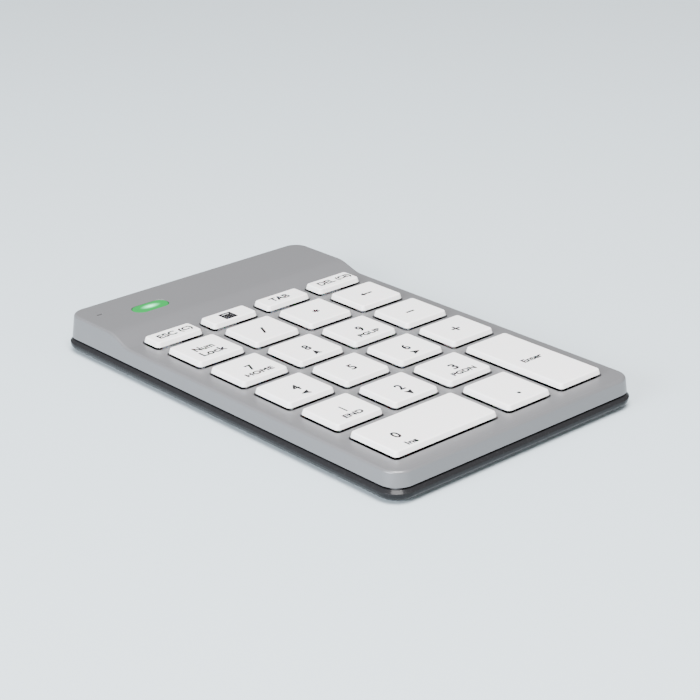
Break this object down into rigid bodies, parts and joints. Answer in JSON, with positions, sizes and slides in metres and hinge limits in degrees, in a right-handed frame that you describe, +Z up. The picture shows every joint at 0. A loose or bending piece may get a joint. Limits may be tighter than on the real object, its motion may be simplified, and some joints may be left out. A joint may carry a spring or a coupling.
{
  "type": "numeric keypad",
  "caption": "Slim wireless numeric keypad: sprung white keys in a satin silver cover with a raised rear, screwed to a glossy dark tray on rubber feet.",
  "frame": {"origin": "middle of the footprint, on the table that the feet rest on", "axes": "+X to the user's right, +Y away from the user towards the raised rear, +Z up"},
  "size_m": [0.0856, 0.1326, 0.0108],
  "materials": {
    "cover_satin": "fine satin silver paint on moulded plastic",
    "tray_gloss": "polished black",
    "keycap": "fine matt white with dark printed legends",
    "foot_rubber": "matt black rubber",
    "screw_steel": "plain zinc",
    "plate_steel": "plain rolled sheet",
    "contact_film": "clear polyester film",
    "silicone": "milky silicone",
    "board": "green solder mask",
    "battery_foil": "laminated foil pouch",
    "lead_black": "insulated lead",
    "lead_red": "insulated lead",
    "socket_steel": "drawn and plated",
    "switch_black": "moulded",
    "chip_black": "moulded package",
    "connector_white": "moulded",
    "lamp_white": "small lamp",
    "light_guide": "clear moulded light guide",
    "lit_window": "milky lens lit green from below",
    "wire_steel": "drawn spring wire"
  },
  "bodies": {
    "casing": {"foot_front_left": "foot_rubber", "foot_front_right": "foot_rubber", "foot_rear_left": "foot_rubber", "foot_rear_right": "foot_rubber", "screw_front_left": "screw_steel", "screw_front_right": "screw_steel", "screw_middle_left": "screw_steel", "screw_middle_right": "screw_steel", "screw_rear_left": "screw_steel", "screw_rear_right": "screw_steel", "top_cover": "cover_satin", "bottom_tray": "tray_gloss", "switch_plate": "plate_steel", "membrane": "contact_film", "dome_mat": "silicone", "circuit_board": "board", "battery": "battery_foil", "battery_pad": "foot_rubber", "crystal": "socket_steel", "antenna": "connector_white", "window_diffuser": "light_guide", "battery_lead_black": "lead_black", "battery_lead_red": "lead_red", "usb_socket": "socket_steel", "power_switch": "switch_black", "controller_chip": "chip_black", "ribbon_connector": "connector_white", "battery_connector": "connector_white", "window_lamp": "lamp_white", "status_lamp": "lamp_white", "status_light_guide": "light_guide", "light_window": "lit_window"},
    "key_0": {"key_0": "keycap"},
    "key_point": {"key_point": "keycap"},
    "key_enter": {"key_enter": "keycap"},
    "key_1": {"key_1": "keycap"},
    "key_2": {"key_2": "keycap"},
    "key_3": {"key_3": "keycap"},
    "key_4": {"key_4": "keycap"},
    "key_5": {"key_5": "keycap"},
    "key_6": {"key_6": "keycap"},
    "key_plus": {"key_plus": "keycap"},
    "key_7": {"key_7": "keycap"},
    "key_8": {"key_8": "keycap"},
    "key_9": {"key_9": "keycap"},
    "key_minus": {"key_minus": "keycap"},
    "key_num_lock": {"key_num_lock": "keycap"},
    "key_divide": {"key_divide": "keycap"},
    "key_multiply": {"key_multiply": "keycap"},
    "key_backspace": {"key_backspace": "keycap"},
    "key_escape": {"key_escape": "keycap"},
    "key_calculator": {"key_calculator": "keycap"},
    "key_tab": {"key_tab": "keycap"},
    "key_delete": {"key_delete": "keycap"},
    "power_knob": {"power_knob": "switch_black"},
    "stabiliser_0": {"stabiliser_0": "wire_steel"},
    "stabiliser_enter": {"stabiliser_enter": "wire_steel"}
  },
  "joints": [
    {"name": "key_0_press", "type": "slide", "parent": "casing", "child": "key_0", "axis": [0, 0, 1], "range_m": [-0.0018, 0], "stiffness_N_per_m": 250, "springref_m": 0.0012, "deforming": ["dome_mat"]},
    {"name": "key_point_press", "type": "slide", "parent": "casing", "child": "key_point", "axis": [0, 0, 1], "range_m": [-0.0018, 0], "stiffness_N_per_m": 250, "springref_m": 0.0012, "deforming": ["dome_mat"]},
    {"name": "key_enter_press", "type": "slide", "parent": "casing", "child": "key_enter", "axis": [0, 0, 1], "range_m": [-0.0018, 0], "stiffness_N_per_m": 250, "springref_m": 0.0012, "deforming": ["dome_mat"]},
    {"name": "key_1_press", "type": "slide", "parent": "casing", "child": "key_1", "axis": [0, 0, 1], "range_m": [-0.0018, 0], "stiffness_N_per_m": 250, "springref_m": 0.0012, "deforming": ["dome_mat"]},
    {"name": "key_2_press", "type": "slide", "parent": "casing", "child": "key_2", "axis": [0, 0, 1], "range_m": [-0.0018, 0], "stiffness_N_per_m": 250, "springref_m": 0.0012, "deforming": ["dome_mat"]},
    {"name": "key_3_press", "type": "slide", "parent": "casing", "child": "key_3", "axis": [0, 0, 1], "range_m": [-0.0018, 0], "stiffness_N_per_m": 250, "springref_m": 0.0012, "deforming": ["dome_mat"]},
    {"name": "key_4_press", "type": "slide", "parent": "casing", "child": "key_4", "axis": [0, 0, 1], "range_m": [-0.0018, 0], "stiffness_N_per_m": 250, "springref_m": 0.0012, "deforming": ["dome_mat"]},
    {"name": "key_5_press", "type": "slide", "parent": "casing", "child": "key_5", "axis": [0, 0, 1], "range_m": [-0.0018, 0], "stiffness_N_per_m": 250, "springref_m": 0.0012, "deforming": ["dome_mat"]},
    {"name": "key_6_press", "type": "slide", "parent": "casing", "child": "key_6", "axis": [0, 0, 1], "range_m": [-0.0018, 0], "stiffness_N_per_m": 250, "springref_m": 0.0012, "deforming": ["dome_mat"]},
    {"name": "key_plus_press", "type": "slide", "parent": "casing", "child": "key_plus", "axis": [0, 0, 1], "range_m": [-0.0018, 0], "stiffness_N_per_m": 250, "springref_m": 0.0012, "deforming": ["dome_mat"]},
    {"name": "key_7_press", "type": "slide", "parent": "casing", "child": "key_7", "axis": [0, 0, 1], "range_m": [-0.0018, 0], "stiffness_N_per_m": 250, "springref_m": 0.0012, "deforming": ["dome_mat"]},
    {"name": "key_8_press", "type": "slide", "parent": "casing", "child": "key_8", "axis": [0, 0, 1], "range_m": [-0.0018, 0], "stiffness_N_per_m": 250, "springref_m": 0.0012, "deforming": ["dome_mat"]},
    {"name": "key_9_press", "type": "slide", "parent": "casing", "child": "key_9", "axis": [0, 0, 1], "range_m": [-0.0018, 0], "stiffness_N_per_m": 250, "springref_m": 0.0012, "deforming": ["dome_mat"]},
    {"name": "key_minus_press", "type": "slide", "parent": "casing", "child": "key_minus", "axis": [0, 0, 1], "range_m": [-0.0018, 0], "stiffness_N_per_m": 250, "springref_m": 0.0012, "deforming": ["dome_mat"]},
    {"name": "key_num_lock_press", "type": "slide", "parent": "casing", "child": "key_num_lock", "axis": [0, 0, 1], "range_m": [-0.0018, 0], "stiffness_N_per_m": 250, "springref_m": 0.0012, "deforming": ["dome_mat"]},
    {"name": "key_divide_press", "type": "slide", "parent": "casing", "child": "key_divide", "axis": [0, 0, 1], "range_m": [-0.0018, 0], "stiffness_N_per_m": 250, "springref_m": 0.0012, "deforming": ["dome_mat"]},
    {"name": "key_multiply_press", "type": "slide", "parent": "casing", "child": "key_multiply", "axis": [0, 0, 1], "range_m": [-0.0018, 0], "stiffness_N_per_m": 250, "springref_m": 0.0012, "deforming": ["dome_mat"]},
    {"name": "key_backspace_press", "type": "slide", "parent": "casing", "child": "key_backspace", "axis": [0, 0, 1], "range_m": [-0.0018, 0], "stiffness_N_per_m": 250, "springref_m": 0.0012, "deforming": ["dome_mat"]},
    {"name": "key_escape_press", "type": "slide", "parent": "casing", "child": "key_escape", "axis": [0, 0, 1], "range_m": [-0.0018, 0], "stiffness_N_per_m": 250, "springref_m": 0.0012, "deforming": ["dome_mat"]},
    {"name": "key_calculator_press", "type": "slide", "parent": "casing", "child": "key_calculator", "axis": [0, 0, 1], "range_m": [-0.0018, 0], "stiffness_N_per_m": 250, "springref_m": 0.0012, "deforming": ["dome_mat"]},
    {"name": "key_tab_press", "type": "slide", "parent": "casing", "child": "key_tab", "axis": [0, 0, 1], "range_m": [-0.0018, 0], "stiffness_N_per_m": 250, "springref_m": 0.0012, "deforming": ["dome_mat"]},
    {"name": "key_delete_press", "type": "slide", "parent": "casing", "child": "key_delete", "axis": [0, 0, 1], "range_m": [-0.0018, 0], "stiffness_N_per_m": 250, "springref_m": 0.0012, "deforming": ["dome_mat"]},
    {"name": "stabiliser_0_turn", "type": "hinge", "parent": "casing", "child": "stabiliser_0", "pos_m": [-0.019, -0.05375, 0.0064], "axis": [1, 0, 0], "range_deg": [-14.4, 0]},
    {"name": "stabiliser_enter_turn", "type": "hinge", "parent": "casing", "child": "stabiliser_enter", "pos_m": [0.0259, -0.04235, 0.0064], "axis": [0, -1, 0], "range_deg": [-14.4, 0]},
    {"name": "power_knob_slide", "type": "slide", "parent": "casing", "child": "power_knob", "axis": [1, 0, 0], "range_m": [-0.002, 0]}
  ],
  "couplings": [
    {"joint": "stabiliser_0_turn", "follows": "key_0_press", "rad_per_m": 138.87},
    {"joint": "stabiliser_enter_turn", "follows": "key_enter_press", "rad_per_m": 138.87}
  ]
}
